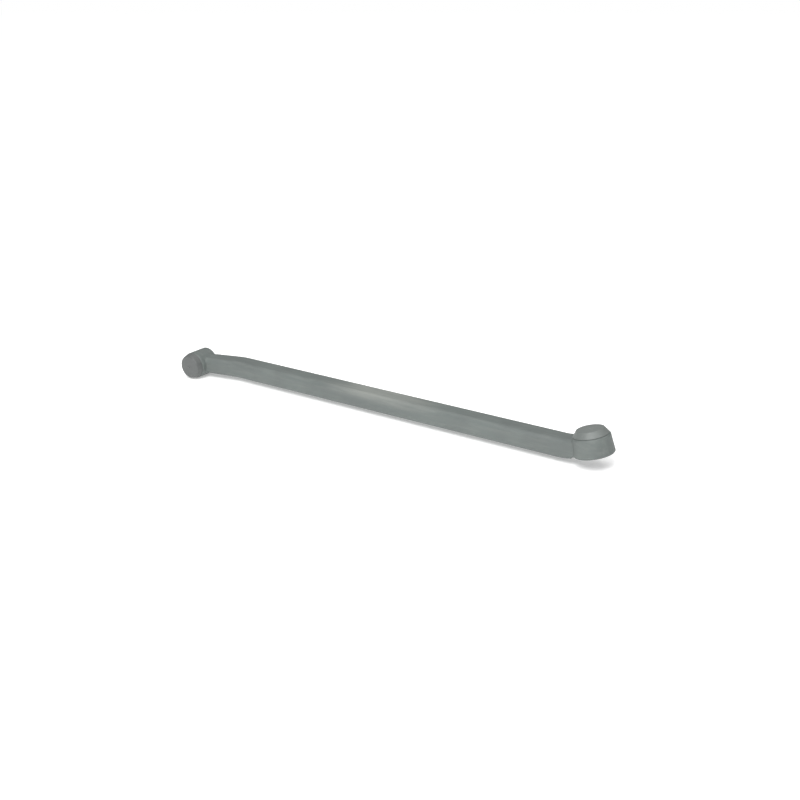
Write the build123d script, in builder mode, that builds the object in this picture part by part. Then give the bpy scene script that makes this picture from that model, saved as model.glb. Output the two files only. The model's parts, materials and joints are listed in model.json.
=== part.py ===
from build123d import *
from math import cos, radians, sin, tan
from types import SimpleNamespace
import os

# Cranked stay bar with a capped swivel fixing at each end. Millimetres, +Z up.
# The bar runs along X. Its right neck is cranked upwards and its left neck forwards, towards -Y,
# so the two swivels stand a quarter turn apart. A bolt enters each swivel from its back.

# Driving dimensions: the bar
CENTRES = 320.0            # between the two swivel axes, along X
BAR_WIDTH = 16.0           # along Y
BAR_HEIGHT = 13.0          # along Z
BAR_CORNER = 3.6
BEND_RADIUS = 30.0         # centreline of both cranks
RIGHT_CRANK = 14.0         # degrees, upwards
LEFT_CRANK = 13.0          # degrees, forwards
RIGHT_NECK = 17.2          # from the corner of the crank to the swivel axis
LEFT_NECK = 34.0
NECK_THINNING = 0.92       # left neck section against the bar section, at the eye
EYE_EDGE = 0.6             # chamfer round the two faces of an eye
FACING = 1.2               # the eyes' faces are machined flat this far round them

# Shared small dimensions of the two swivels
RUNNING_GAP = 0.05         # radial, shank in bushes
END_GAP = 0.08             # axial, between the turning and the fixed pieces
CAP_GAP = 0.3              # between a cap and the eye that it turns over
SLEEVE_PROUD = 0.3         # a swivel's back end stands this far out of its eye, to bear on a bracket
SHANK_CHAMFER = 0.25
MOUTH_CHAMFER = 0.4
CLIP_WIRE = 0.4            # radius of the cap clip's wire
CENTRE_DIMPLE = 0.9        # radius of the turning centre in a cap
LUG_RADIUS = 1.15          # ears of a retaining ring
LUG_HOLE = 0.45
LUG_TURN = 18.0            # degrees, from the ring's opening to the middle of an ear
LUG_INSET = 0.3
RING_BACK = 0.35           # from the eye's back face to the retaining ring
RING_REACH = 1.5           # how far the ring stands out from the shank
RING_MOUTH = 1.8           # width of its opening
SPRING_GAP = 0.1           # radial, disc spring on the shank
SPRING_REACH = 2.2
SPRING_LEAF = 0.3          # its thickness
FLANGE_GAP = 0.15          # radial, bush flange in its seat
BUSH_HALF_GAP = 0.1        # each bush stops this short of the middle of the bore
THRUST_EDGE = 0.2          # the thrust washer is this much smaller than the swivel's head
BACKING_EDGE = 0.6         # and the backing washer than its seat


def swivel_end(**sizes):
    """One end's sizes. Heights are measured from the eye's back face, towards the cap."""
    end = SimpleNamespace(**sizes)
    end.ring_low = RING_BACK
    end.spring_low = end.ring_low + end.ring_thick
    end.backing_low = end.spring_low + end.spring_high
    end.inner_flange_low = end.backing_low + end.washer_thick + END_GAP
    end.back_seat = end.inner_flange_low + end.flange_thick
    end.front_seat = end.eye_height - end.front_depth
    end.thrust_low = end.front_seat + end.flange_thick
    end.head_low = end.thrust_low + end.washer_thick + END_GAP
    end.cap_low = end.eye_height + CAP_GAP
    end.head_high = end.cap_high - end.cap_roof
    end.bush_bore = end.shank + RUNNING_GAP
    return end


RIGHT = swivel_end(
    name="right", eye_low=13.2, eye_high=12.0, eye_height=12.4, eye_back=5.0, cap_low_radius=11.4,
    cap_high_radius=8.8, cap_high=16.4, cap_roof=1.3, cap_round=0.9,
    bush=8.0, seat=9.8, shank=6.2, head=8.2, groove=5.5, thread=3.4, thread_depth=12.0,
    ring_thick=0.8, spring_high=0.6, washer_thick=0.7, flange_thick=0.8, front_depth=3.0,
    seal_wire=0.72,
)
LEFT = swivel_end(
    name="left", eye_low=9.9, eye_high=9.8, eye_height=16.3, eye_back=6.8, cap_low_radius=9.6,
    cap_high_radius=8.4, cap_high=21.0, cap_roof=1.3, cap_round=1.2,
    bush=6.6, seat=8.2, shank=4.9, head=6.8, groove=4.3, thread=2.5, thread_depth=10.0,
    ring_thick=0.8, spring_high=0.6, washer_thick=0.7, flange_thick=0.8, front_depth=3.0,
    seal_wire=0.6,
)

# Where the cranks turn and where the swivels stand
right_turn = radians(RIGHT_CRANK)
left_turn = radians(LEFT_CRANK)
right_corner = CENTRES / 2 - RIGHT_NECK * cos(right_turn)
left_corner = -CENTRES / 2 + LEFT_NECK * cos(left_turn)
right_rise = RIGHT_NECK * sin(right_turn)
left_reach = LEFT_NECK * sin(left_turn)
right_tangent = BEND_RADIUS * tan(right_turn / 2)
left_tangent = BEND_RADIUS * tan(left_turn / 2)


def neck_plane(end):
    """The plane across the neck at the swivel axis, facing away from the bar."""
    if end is RIGHT:
        facing = (cos(right_turn), 0, sin(right_turn))
        return Plane(origin=(CENTRES / 2, 0, right_rise), x_dir=(0, 1, 0), z_dir=facing)
    facing = (-cos(left_turn), -sin(left_turn), 0)
    return Plane(origin=(-CENTRES / 2, -left_reach, 0), x_dir=(0, 0, 1), z_dir=facing)


def eye_plane(end):
    """The back face of an eye, facing its cap. The right eye stands square to its neck, and the
    left one square to the bar."""
    towards_cap = Vector(-sin(right_turn), 0, cos(right_turn)) if end is RIGHT else Vector(0, -1, 0)
    outwards = neck_plane(end).z_dir if end is RIGHT else Vector(-1, 0, 0)
    back = neck_plane(end).origin - towards_cap * end.eye_back
    return Plane(origin=back, x_dir=outwards, z_dir=towards_cap)


for end in (RIGHT, LEFT):
    end.plane = eye_plane(end)


def ring(end, low, high, inner, outer):
    """A plain flat ring about the swivel axis."""
    with BuildPart() as band:
        with BuildSketch(end.plane.offset(low)):
            Circle(outer)
            Circle(inner, mode=Mode.SUBTRACT)
        extrude(amount=high - low)
    return band.part


def make_bush(end, flange_low, sleeve_low, sleeve_high):
    """A flanged bush: a thin sleeve in the eye's bore, and a flange on the seat beside it."""
    with BuildPart() as bush:
        with BuildSketch(end.plane.offset(sleeve_low)):
            Circle(end.bush)
        extrude(amount=sleeve_high - sleeve_low)
        with BuildSketch(end.plane.offset(flange_low)):
            Circle(end.seat - FLANGE_GAP)
        extrude(amount=end.flange_thick)
        with BuildSketch(end.plane.offset(min(flange_low, sleeve_low))):
            Circle(end.bush_bore)
        extrude(amount=end.eye_height, mode=Mode.SUBTRACT)
    return bush.part


def make_seal(end):
    """A rubber ring round the swivel's head, on the front bush's flange."""
    with BuildPart(end.plane.offset(end.thrust_low + end.seal_wire)) as seal:
        Torus(end.seat - end.seal_wire, end.seal_wire)
    return seal.part


def clip_height(end):
    return (end.cap_low + end.head_high) / 2


def make_sleeve(end):
    """The swivel: a round head on a shank that is tapped from the back."""
    back = end.plane.offset(-SLEEVE_PROUD)
    with BuildPart() as sleeve:
        with BuildSketch(back):
            Circle(end.shank)
        extrude(amount=end.head_low + SLEEVE_PROUD)
        ends = sleeve.edges().filter_by(GeomType.CIRCLE)
        chamfer(ends.sort_by(Axis(back.origin, back.z_dir))[0], SHANK_CHAMFER)
        with BuildSketch(end.plane.offset(end.head_low)):
            Circle(end.head)
        extrude(amount=end.head_high - end.head_low)
        with BuildSketch(end.plane.offset(end.ring_low)):
            Circle(end.head)
            Circle(end.groove, mode=Mode.SUBTRACT)
        extrude(amount=end.ring_thick, mode=Mode.SUBTRACT)
        with BuildSketch(back):
            Circle(end.thread)
        extrude(amount=end.thread_depth, mode=Mode.SUBTRACT)
        with BuildSketch(back):
            Circle(end.thread + MOUTH_CHAMFER)
        extrude(amount=MOUTH_CHAMFER, taper=45, mode=Mode.SUBTRACT)
        with Locations(end.plane.offset(clip_height(end))):
            Torus(end.head, CLIP_WIRE, mode=Mode.SUBTRACT)
    return sleeve.part


def make_cap(end):
    """A smooth tapered cap, closed at the front, that clips over the swivel's head."""
    with BuildPart() as cap:
        with BuildSketch(end.plane.offset(end.cap_low)):
            Circle(end.cap_low_radius)
        with BuildSketch(end.plane.offset(end.cap_high)):
            Circle(end.cap_high_radius)
        loft()
        rims = cap.edges().filter_by(GeomType.CIRCLE)
        fillet(rims.sort_by(Axis(end.plane.origin, end.plane.z_dir))[-1], end.cap_round)
        with BuildSketch(end.plane.offset(end.cap_low)):
            Circle(end.head)
        extrude(amount=end.head_high - end.cap_low, mode=Mode.SUBTRACT)
        with BuildSketch(end.plane.offset(end.cap_high)):
            Circle(CENTRE_DIMPLE)
        extrude(amount=-CENTRE_DIMPLE / 2, taper=45, mode=Mode.SUBTRACT)
        with Locations(end.plane.offset(clip_height(end))):
            Torus(end.head, CLIP_WIRE, mode=Mode.SUBTRACT)
    return cap.part


def make_clip(end):
    """A round wire ring, half in the head's groove and half in the cap's."""
    with BuildPart(end.plane.offset(clip_height(end))) as clip:
        Torus(end.head, CLIP_WIRE)
    return clip.part


def make_spring(end):
    """A conical spring washer between the retaining ring and the backing washer."""
    inner, outer = end.shank + SPRING_GAP, end.shank + SPRING_REACH
    low, high = -end.spring_low, -(end.spring_low + end.spring_high)
    with BuildPart() as spring:
        with BuildSketch(Plane(origin=end.plane.origin, x_dir=end.plane.x_dir,
                               z_dir=end.plane.y_dir)):
            with BuildLine():
                Polyline((inner, low), (outer, high + SPRING_LEAF), (outer, high),
                         (inner, low - SPRING_LEAF), close=True)
            make_face()
        revolve(axis=Axis(end.plane.origin, end.plane.z_dir))
    return spring.part


def make_retaining_ring(end):
    """An open spring ring in the shank's groove, with a lug each side of its gap."""
    outer = end.shank + RING_REACH
    lugs = PolarLocations(outer - LUG_INSET, 2, start_angle=-LUG_TURN,
                          angular_range=2 * LUG_TURN, endpoint=True)
    with BuildPart() as circlip:
        with BuildSketch(end.plane.offset(end.ring_low)):
            Circle(outer)
            with lugs:
                Circle(LUG_RADIUS)
            Circle(end.groove, mode=Mode.SUBTRACT)
            Rectangle(2 * outer, RING_MOUTH, align=(Align.MIN, Align.CENTER), mode=Mode.SUBTRACT)
            with lugs:
                Circle(LUG_HOLE, mode=Mode.SUBTRACT)
        extrude(amount=end.ring_thick)
    return circlip.part


def make_eye(end):
    """The solid eye of one end, before it is bored."""
    with BuildPart() as eye:
        with BuildSketch(end.plane):
            Circle(end.eye_low)
        with BuildSketch(end.plane.offset(end.eye_height)):
            Circle(end.eye_high)
        loft()
        chamfer(eye.edges().filter_by(GeomType.CIRCLE), EYE_EDGE)
    return eye.part


def make_bar():
    """The forged bar: a straight run, a crank and a neck at each end, and an open eye on each."""
    with BuildPart() as bar:
        with BuildLine():
            bend_end = (left_corner - left_tangent * cos(left_turn),
                        -left_tangent * sin(left_turn), 0)
            straight_end = (left_corner + left_tangent, 0, 0)
            TangentArc(straight_end, bend_end, tangent=(-1, 0, 0))
            FilletPolyline(straight_end, (right_corner, 0, 0), (CENTRES / 2, 0, right_rise),
                           radius=BEND_RADIUS)
        with BuildSketch(Plane(origin=(0, 0, 0), x_dir=(0, 1, 0), z_dir=(1, 0, 0))):
            RectangleRounded(BAR_WIDTH, BAR_HEIGHT, BAR_CORNER)
        sweep()
        neck = neck_plane(LEFT)
        neck_length = LEFT_NECK - left_tangent
        with BuildSketch(neck.offset(-neck_length)):
            RectangleRounded(BAR_HEIGHT, BAR_WIDTH, BAR_CORNER)
        with BuildSketch(neck):
            RectangleRounded(BAR_HEIGHT * NECK_THINNING, BAR_WIDTH * NECK_THINNING,
                             BAR_CORNER * NECK_THINNING)
        loft()
        add(make_eye(RIGHT))
        add(make_eye(LEFT))
        for end in (RIGHT, LEFT):
            for low, high, radius in (
                (-BAR_WIDTH, 0, end.eye_low + FACING),
                (0, end.back_seat, end.seat),
                (end.back_seat, end.front_seat, end.bush),
                (end.front_seat, end.eye_height, end.seat),
                (end.eye_height, end.eye_height + BAR_WIDTH, end.eye_low + FACING),
            ):
                with BuildSketch(end.plane.offset(low)):
                    Circle(radius)
                extrude(amount=high - low, mode=Mode.SUBTRACT)
    return bar.part


pieces = {"tie_bar": make_bar()}
for end in (RIGHT, LEFT):
    split = (end.back_seat + end.front_seat) / 2
    end_pieces = {
        "outer_bush": make_bush(end, end.front_seat, split + BUSH_HALF_GAP, end.front_seat),
        "inner_bush": make_bush(end, end.inner_flange_low, end.back_seat,
                                split - BUSH_HALF_GAP),
        "thrust_washer": ring(end, end.thrust_low, end.thrust_low + end.washer_thick,
                              end.bush_bore, end.head - THRUST_EDGE),
        "seal_ring": make_seal(end),
        "swivel_sleeve": make_sleeve(end),
        "cover_cap": make_cap(end),
        "cap_clip": make_clip(end),
        "backing_washer": ring(end, end.backing_low, end.backing_low + end.washer_thick,
                               end.bush_bore, end.seat - BACKING_EDGE),
        "disc_spring": make_spring(end),
        "retaining_ring": make_retaining_ring(end),
    }
    for piece_name, piece in end_pieces.items():
        pieces[f"{end.name}_{piece_name}"] = piece

# The origin is the bottom centre of the whole object's box
boxes = [piece.bounding_box() for piece in pieces.values()]
to_origin = -Vector(
    (min(box.min.X for box in boxes) + max(box.max.X for box in boxes)) / 2,
    (min(box.min.Y for box in boxes) + max(box.max.Y for box in boxes)) / 2,
    min(box.min.Z for box in boxes),
)

os.makedirs("parts", exist_ok=True)
for piece_name, piece in pieces.items():
    placed = piece.moved(Location(to_origin))
    placed.label = piece_name
    export_step(placed, f"parts/{piece_name}.step")

for end in (RIGHT, LEFT):
    back = end.plane.origin + to_origin
    print(end.name, "back", [round(v, 4) for v in back], "towards cap",
          [round(v, 6) for v in end.plane.z_dir])
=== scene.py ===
import json
from math import cos, pi, radians, sin

import bpy
from mathutils import Matrix, Vector


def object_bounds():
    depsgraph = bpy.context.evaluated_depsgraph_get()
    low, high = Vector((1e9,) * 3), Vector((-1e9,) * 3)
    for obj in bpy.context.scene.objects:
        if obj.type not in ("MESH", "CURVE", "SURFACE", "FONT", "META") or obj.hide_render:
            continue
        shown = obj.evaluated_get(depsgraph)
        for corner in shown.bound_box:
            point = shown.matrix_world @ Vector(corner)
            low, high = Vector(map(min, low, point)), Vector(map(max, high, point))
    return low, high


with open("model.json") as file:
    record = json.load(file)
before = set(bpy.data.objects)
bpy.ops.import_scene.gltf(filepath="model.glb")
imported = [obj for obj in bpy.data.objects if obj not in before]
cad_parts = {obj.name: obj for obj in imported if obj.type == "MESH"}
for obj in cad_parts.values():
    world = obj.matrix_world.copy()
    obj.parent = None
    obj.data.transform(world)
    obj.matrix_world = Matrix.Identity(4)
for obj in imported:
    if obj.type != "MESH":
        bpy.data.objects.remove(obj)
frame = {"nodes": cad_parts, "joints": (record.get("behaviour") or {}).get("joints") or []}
CAD_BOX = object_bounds()
LOW, HIGH = CAD_BOX
CENTRE = (LOW + HIGH) / 2
LENGTH = HIGH.x - LOW.x
MM = 0.001

# Camera: a moderate lens, from the right of the front and a little above
LENS = 47.25                  # mm
SENSOR = 36                   # mm
AZIMUTH = radians(33.77)
ELEVATION = radians(20.94)
DISTANCE = 2.104 * LENGTH
AIM_RIGHT = 0.0444 * LENGTH   # the view's centre passes this far right of the box's centre
AIM_DOWN = 0.0042 * LENGTH
FAR_CLIP = 20                 # metres

# Light
SKY = 0.34
KEY = 16.5                    # watts
KEY_PLACE = (16, 46, 1.4)     # azimuth and elevation in degrees, and distance in metres
KEY_SIZE = 0.6                # metres
OVERHEAD = 1.3                # watts per square metre
OVERHEAD_SPREAD = 70          # degrees
FLOOR_GLOW = 0.32             # keeps the far floor white, and softens the shadow
FLOOR_RADIUS = 40.0           # metres
FLOOR_CORNERS = 96

# Colours, linear
COATING = (0.124, 0.143, 0.136)
COATING_DARK = (0.112, 0.127, 0.122)
COATING_PALE = (0.225, 0.237, 0.220)
# One cap coating in two brightnesses: painted shade on the left cap, painted light on the right
# cap.
CAP_COATING_SHADED_AND_LIT = {"left": (0.110, 0.117, 0.115), "right": (0.154, 0.169, 0.162)}
ZINC = (0.52, 0.53, 0.54)
ZINC_DARK = (0.40, 0.41, 0.43)
STEEL = (0.42, 0.43, 0.44)
STEEL_DARK = (0.30, 0.31, 0.32)
BLACK_STEEL = (0.055, 0.056, 0.060)
BLACK_STEEL_DARK = (0.03, 0.03, 0.033)
BRONZE = (0.47, 0.31, 0.13)
BRONZE_DARK = (0.36, 0.22, 0.09)
BRONZE_PORE = (0.07, 0.045, 0.02)
ACETAL = (0.66, 0.64, 0.57)
ACETAL_DARK = (0.58, 0.55, 0.47)
RUBBER = (0.016, 0.016, 0.017)
RUBBER_DARK = (0.010, 0.010, 0.011)

# The paler stretch at mid-bar, partly wear and partly a painted highlight, in metres: it fades in
# and out along X, and grows upwards
WEAR_AND_HIGHLIGHT_IN = (-0.052, -0.012)
WEAR_AND_HIGHLIGHT_OUT = (0.060, 0.008)
WEAR_AND_HIGHLIGHT_UP = (0.0095, 0.0168)

# Fine marks
SEAM_SOFTENING = 1.8 * MM
CAP_RING_PITCH = 0.55 * MM


# Camera, floor and light

def make_camera():
    level = cos(ELEVATION)
    forward = Vector((-sin(AZIMUTH) * level, cos(AZIMUTH) * level, -sin(ELEVATION)))
    right = Vector((cos(AZIMUTH), sin(AZIMUTH), 0))
    down = forward.cross(right)
    data = bpy.data.cameras.new("camera")
    data.lens = LENS
    data.sensor_width = SENSOR
    data.clip_end = FAR_CLIP
    camera = bpy.data.objects.new("camera", data)
    bpy.context.scene.collection.objects.link(camera)
    eye = CENTRE - forward * DISTANCE + right * AIM_RIGHT + down * AIM_DOWN
    turn = Matrix((right, -down, -forward)).transposed()
    camera.matrix_world = Matrix.Translation(eye) @ turn.to_4x4()
    bpy.context.scene.camera = camera


def make_floor():
    """A wide pale floor, round, so that it looks the same from every side."""
    turns = [2 * pi * k / FLOOR_CORNERS for k in range(FLOOR_CORNERS)]
    rim = [(FLOOR_RADIUS * cos(turn), FLOOR_RADIUS * sin(turn), 0) for turn in turns]
    mesh = bpy.data.meshes.new("floor")
    mesh.from_pydata(rim, [], [range(FLOOR_CORNERS)])
    floor = bpy.data.objects.new("floor", mesh)
    bpy.context.scene.collection.objects.link(floor)
    material = bpy.data.materials.new("floor")
    material.use_nodes = True
    shader = material.node_tree.nodes["Principled BSDF"]
    shader.inputs["Base Color"].default_value = (0.93, 0.93, 0.93, 1)
    shader.inputs["Roughness"].default_value = 0.9
    shader.inputs["Specular IOR Level"].default_value = 0.1
    shader.inputs["Emission Color"].default_value = (1, 1, 1, 1)
    shader.inputs["Emission Strength"].default_value = FLOOR_GLOW
    mesh.materials.append(material)


def area_light(name, azimuth, elevation, distance, size, power):
    """A square soft light that looks at the object's centre from an azimuth and elevation."""
    a, e = radians(azimuth), radians(elevation)
    towards = Vector((sin(a) * cos(e), -cos(a) * cos(e), sin(e)))
    data = bpy.data.lights.new(name, "AREA")
    data.shape = "SQUARE"
    data.size = size
    data.energy = power
    light = bpy.data.objects.new(name, data)
    bpy.context.scene.collection.objects.link(light)
    light.location = CENTRE + towards * distance
    light.rotation_euler = (-towards).to_track_quat("-Z", "Y").to_euler()


def make_light():
    """A dim even sky that looks white behind the object, a large key to the left of the camera and
    above it, and a wide sun from straight above."""
    world = bpy.data.worlds.new("studio")
    world.use_nodes = True
    tree = world.node_tree
    background = tree.nodes["Background"]
    background.inputs["Color"].default_value = (1, 1, 1, 1)
    rays = tree.nodes.new("ShaderNodeLightPath")
    strength = tree.nodes.new("ShaderNodeMapRange")
    tree.links.new(rays.outputs["Is Camera Ray"], strength.inputs["Value"])
    strength.inputs["To Min"].default_value = SKY
    strength.inputs["To Max"].default_value = 1.0
    tree.links.new(strength.outputs["Result"], background.inputs["Strength"])
    bpy.context.scene.world = world
    area_light("key", *KEY_PLACE, KEY_SIZE, KEY)
    data = bpy.data.lights.new("overhead", "SUN")
    data.energy = OVERHEAD
    data.angle = radians(OVERHEAD_SPREAD)
    overhead = bpy.data.objects.new("overhead", data)
    bpy.context.scene.collection.objects.link(overhead)
    bpy.context.scene.view_settings.view_transform = "Standard"
    bpy.context.scene.view_settings.look = "None"


# Materials: small helpers, then one function for each

class Nodes:
    """A new node material, with short calls for the nodes that the finishes share."""

    def __init__(self, name):
        self.material = bpy.data.materials.new(name)
        self.material.use_nodes = True
        self.tree = self.material.node_tree
        self.shader = self.tree.nodes["Principled BSDF"]
        self.place = self.tree.nodes.new("ShaderNodeTexCoord").outputs["Object"]

    def link(self, source, target):
        self.tree.links.new(source, target)

    def put(self, socket, value):
        if isinstance(value, bpy.types.NodeSocket):
            self.link(value, socket)
        else:
            socket.default_value = value

    def stretched(self, scale, start=(0, 0, 0)):
        node = self.tree.nodes.new("ShaderNodeMapping")
        node.inputs["Scale"].default_value = scale
        node.inputs["Location"].default_value = start
        self.link(self.place, node.inputs["Vector"])
        return node.outputs["Vector"]

    def noise(self, scale, detail=3.0, rough=0.5, vector=None):
        node = self.tree.nodes.new("ShaderNodeTexNoise")
        node.inputs["Scale"].default_value = scale
        node.inputs["Detail"].default_value = detail
        node.inputs["Roughness"].default_value = rough
        self.link(vector or self.place, node.inputs["Vector"])
        return node.outputs["Fac"]

    def ramp(self, value, low, high, out_low=0.0, out_high=1.0):
        node = self.tree.nodes.new("ShaderNodeMapRange")
        node.interpolation_type = "SMOOTHSTEP"
        self.link(value, node.inputs["Value"])
        for limit, number in (("From Min", low), ("From Max", high),
                              ("To Min", out_low), ("To Max", out_high)):
            node.inputs[limit].default_value = number
        return node.outputs["Result"]

    def math(self, operation, first, second=0.0):
        node = self.tree.nodes.new("ShaderNodeMath")
        node.operation = operation
        self.put(node.inputs[0], first)
        self.put(node.inputs[1], second)
        return node.outputs["Value"]

    def mix(self, factor, first, second):
        node = self.tree.nodes.new("ShaderNodeMix")
        node.data_type = "RGBA"
        self.put(node.inputs["Factor"], factor)
        for socket, colour in ((node.inputs["A"], first), (node.inputs["B"], second)):
            self.put(socket, colour if isinstance(colour, bpy.types.NodeSocket) else (*colour, 1))
        return node.outputs["Result"]

    def axis(self, name):
        node = self.tree.nodes.new("ShaderNodeSeparateXYZ")
        self.link(self.place, node.inputs["Vector"])
        return node.outputs[name]

    def vector_math(self, operation, first, second=None):
        node = self.tree.nodes.new("ShaderNodeVectorMath")
        node.operation = operation
        self.link(first, node.inputs[0])
        if second is not None:
            node.inputs[1].default_value = second
        return node.outputs

    def radius(self, centre, along):
        """Distance from a swivel's axis, in metres."""
        offset = self.vector_math("SUBTRACT", self.place, centre)["Vector"]
        cross = self.vector_math("CROSS_PRODUCT", offset, along)["Vector"]
        return self.vector_math("LENGTH", cross)["Value"]

    def height(self, centre, along):
        """Distance along a swivel's axis from its back face, in metres."""
        offset = self.vector_math("SUBTRACT", self.place, centre)["Vector"]
        return self.vector_math("DOT_PRODUCT", offset, along)["Value"]

    def bump(self, *layers, soften=0.0):
        """Each layer is (height socket, depth in metres); they are stacked in order, on edges and
        corners that look rounded to the soften radius, in metres."""
        normal = None
        if soften:
            edges = self.tree.nodes.new("ShaderNodeBevel")
            edges.samples = 8
            edges.inputs["Radius"].default_value = soften
            normal = edges.outputs["Normal"]
        for source, depth in layers:
            node = self.tree.nodes.new("ShaderNodeBump")
            node.inputs["Distance"].default_value = depth
            self.link(source, node.inputs["Height"])
            if normal:
                self.link(normal, node.inputs["Normal"])
            normal = node.outputs["Normal"]
        self.link(normal, self.shader.inputs["Normal"])

    def finish(self, colour, rough, metal=0.0):
        self.put(self.shader.inputs["Base Color"], colour)
        self.put(self.shader.inputs["Roughness"], rough)
        self.shader.inputs["Metallic"].default_value = metal
        return self.material


def coated_bar():
    """Satin grey-green coating over a forging: soft mottling, fine peel, drag marks along the bar,
    and a paler stretch along the upper side of its middle, partly wear and partly a painted
    highlight."""
    n = Nodes("bar_coating")
    patches = n.noise(38, 4, 0.6)
    streaks = n.noise(1.0, 4, 0.6, n.stretched((45, 420, 420)))
    flecks = n.ramp(n.noise(1.0, 2, 0.6, n.stretched((210, 900, 900))), 0.64, 0.74)
    colour = n.mix(n.ramp(patches, 0.36, 0.66), COATING_DARK, COATING)
    colour = n.mix(n.math("MULTIPLY", n.ramp(streaks, 0.42, 0.72), 0.22), colour, COATING_PALE)
    along = n.axis("X")
    # Painted highlight, with some wear: the coating turns paler on the upper side of the middle of
    # the bar.
    wear_and_highlight = n.math("MULTIPLY", n.ramp(along, *WEAR_AND_HIGHLIGHT_IN), n.ramp(along, *WEAR_AND_HIGHLIGHT_OUT))
    upper = n.ramp(n.axis("Z"), *WEAR_AND_HIGHLIGHT_UP)
    wear_and_highlight = n.math("MULTIPLY", n.math("MULTIPLY", wear_and_highlight, upper),
                    n.ramp(streaks, 0.30, 0.62, 0.6, 1.0))
    colour = n.mix(n.math("MULTIPLY", wear_and_highlight, 0.95), colour, COATING_PALE)
    colour = n.mix(n.math("MULTIPLY", flecks, 0.20), colour, COATING_DARK)
    rough = n.ramp(streaks, 0.3, 0.7, 0.50, 0.62)
    n.bump((n.noise(70, 3), 0.35 * MM), (n.noise(1500, 2), 0.035 * MM), (streaks, 0.06 * MM),
           soften=SEAM_SOFTENING)
    return n.finish(colour, rough)


def coated_cap(name, colour, centre, along):
    """The cap's coating: smoother, with faint turned rings showing through on its face."""
    n = Nodes(name)
    patches = n.noise(90, 4, 0.6)
    specks = n.ramp(n.noise(900, 2, 0.6), 0.62, 0.74)
    dark = [0.88 * part for part in colour]
    colour = n.mix(n.ramp(patches, 0.36, 0.66), dark, colour)
    colour = n.mix(n.math("MULTIPLY", specks, 0.20), colour, COATING_PALE)
    rings = n.math("SINE", n.math("MULTIPLY", n.radius(centre, along), 2 * pi / CAP_RING_PITCH))
    n.bump((n.noise(160, 3), 0.16 * MM), (n.noise(1700, 2), 0.03 * MM), (rings, 0.0025 * MM))
    return n.finish(colour, n.ramp(patches, 0.3, 0.7, 0.46, 0.58))


def turned_metal(name, colour, dark, centre, along, rough=0.32, pitch=0.22):
    """A turned or ground part: fine rings about the swivel's axis, a pitch apart in millimetres,
    and slightly uneven plating."""
    n = Nodes(name)
    patches = n.noise(260, 3, 0.6)
    tint = n.mix(n.ramp(patches, 0.35, 0.68), dark, colour)
    step = 2 * pi / (pitch * MM)
    rings = n.math("SINE", n.math("MULTIPLY", n.radius(centre, along), step))
    bands = n.math("SINE", n.math("MULTIPLY", n.height(centre, along), step))
    grooves = n.math("ADD", rings, bands)
    n.bump((grooves, 0.003 * MM), (n.noise(1800, 2), 0.01 * MM))
    return n.finish(tint, n.ramp(patches, 0.3, 0.7, rough - 0.05, rough + 0.08), 1.0)


def sintered_bronze(name):
    """Oiled sintered bronze: fine dark pores in a warm, dull metal."""
    n = Nodes(name)
    pores = n.ramp(n.noise(2600, 2, 0.7), 0.58, 0.70)
    patches = n.noise(300, 3)
    colour = n.mix(n.ramp(patches, 0.35, 0.65), BRONZE_DARK, BRONZE)
    colour = n.mix(n.math("MULTIPLY", pores, 0.7), colour, BRONZE_PORE)
    n.bump((n.math("SUBTRACT", 1.0, pores), 0.03 * MM))
    return n.finish(colour, n.ramp(patches, 0.3, 0.7, 0.36, 0.48), 1.0)


def moulded(name, colour, dark, rough, grain):
    """Moulded rubber or polymer: faint grain and a slightly uneven tone."""
    n = Nodes(name)
    tone = n.mix(n.ramp(n.noise(500, 3), 0.35, 0.65), dark, colour)
    n.bump((n.noise(grain, 2), 0.02 * MM))
    return n.finish(tone, n.ramp(n.noise(800, 2), 0.3, 0.7, rough - 0.05, rough + 0.05))


def dress(node, material):
    """Gives a CAD node one material on all of its faces."""
    mesh = frame["nodes"][node].data
    mesh.materials.clear()
    mesh.materials.append(material)


def dress_end(side):
    joint = next(j for j in frame["joints"] if j["name"] == f"{side}_turn")
    centre, along = joint["pos_m"], joint["axis"]
    zinc = turned_metal(f"{side}_zinc", ZINC, ZINC_DARK, centre, along)
    steel = turned_metal(f"{side}_ground_steel", STEEL, STEEL_DARK, centre, along,
                         rough=0.28, pitch=0.12)
    spring = turned_metal(f"{side}_black_steel", BLACK_STEEL, BLACK_STEEL_DARK, centre, along,
                          rough=0.40, pitch=0.3)
    bronze = sintered_bronze(f"{side}_bronze")
    finishes = {
        # The cap colour carries painted shade on the left cap and painted light on the right cap.
        "cover_cap": coated_cap(f"{side}_cap_coating", CAP_COATING_SHADED_AND_LIT[side], centre, along),
        "swivel_sleeve": zinc,
        "cap_clip": spring,
        "disc_spring": spring,
        "retaining_ring": spring,
        "backing_washer": steel,
        "outer_bush": bronze,
        "inner_bush": bronze,
        "thrust_washer": moulded(f"{side}_acetal", ACETAL, ACETAL_DARK, 0.42, 1200),
        "seal_ring": moulded(f"{side}_rubber", RUBBER, RUBBER_DARK, 0.55, 1600),
    }
    for piece, material in finishes.items():
        dress(f"{side}_{piece}", material)


make_camera()
make_floor()
make_light()
dress("tie_bar", coated_bar())
for side in ("left", "right"):
    dress_end(side)
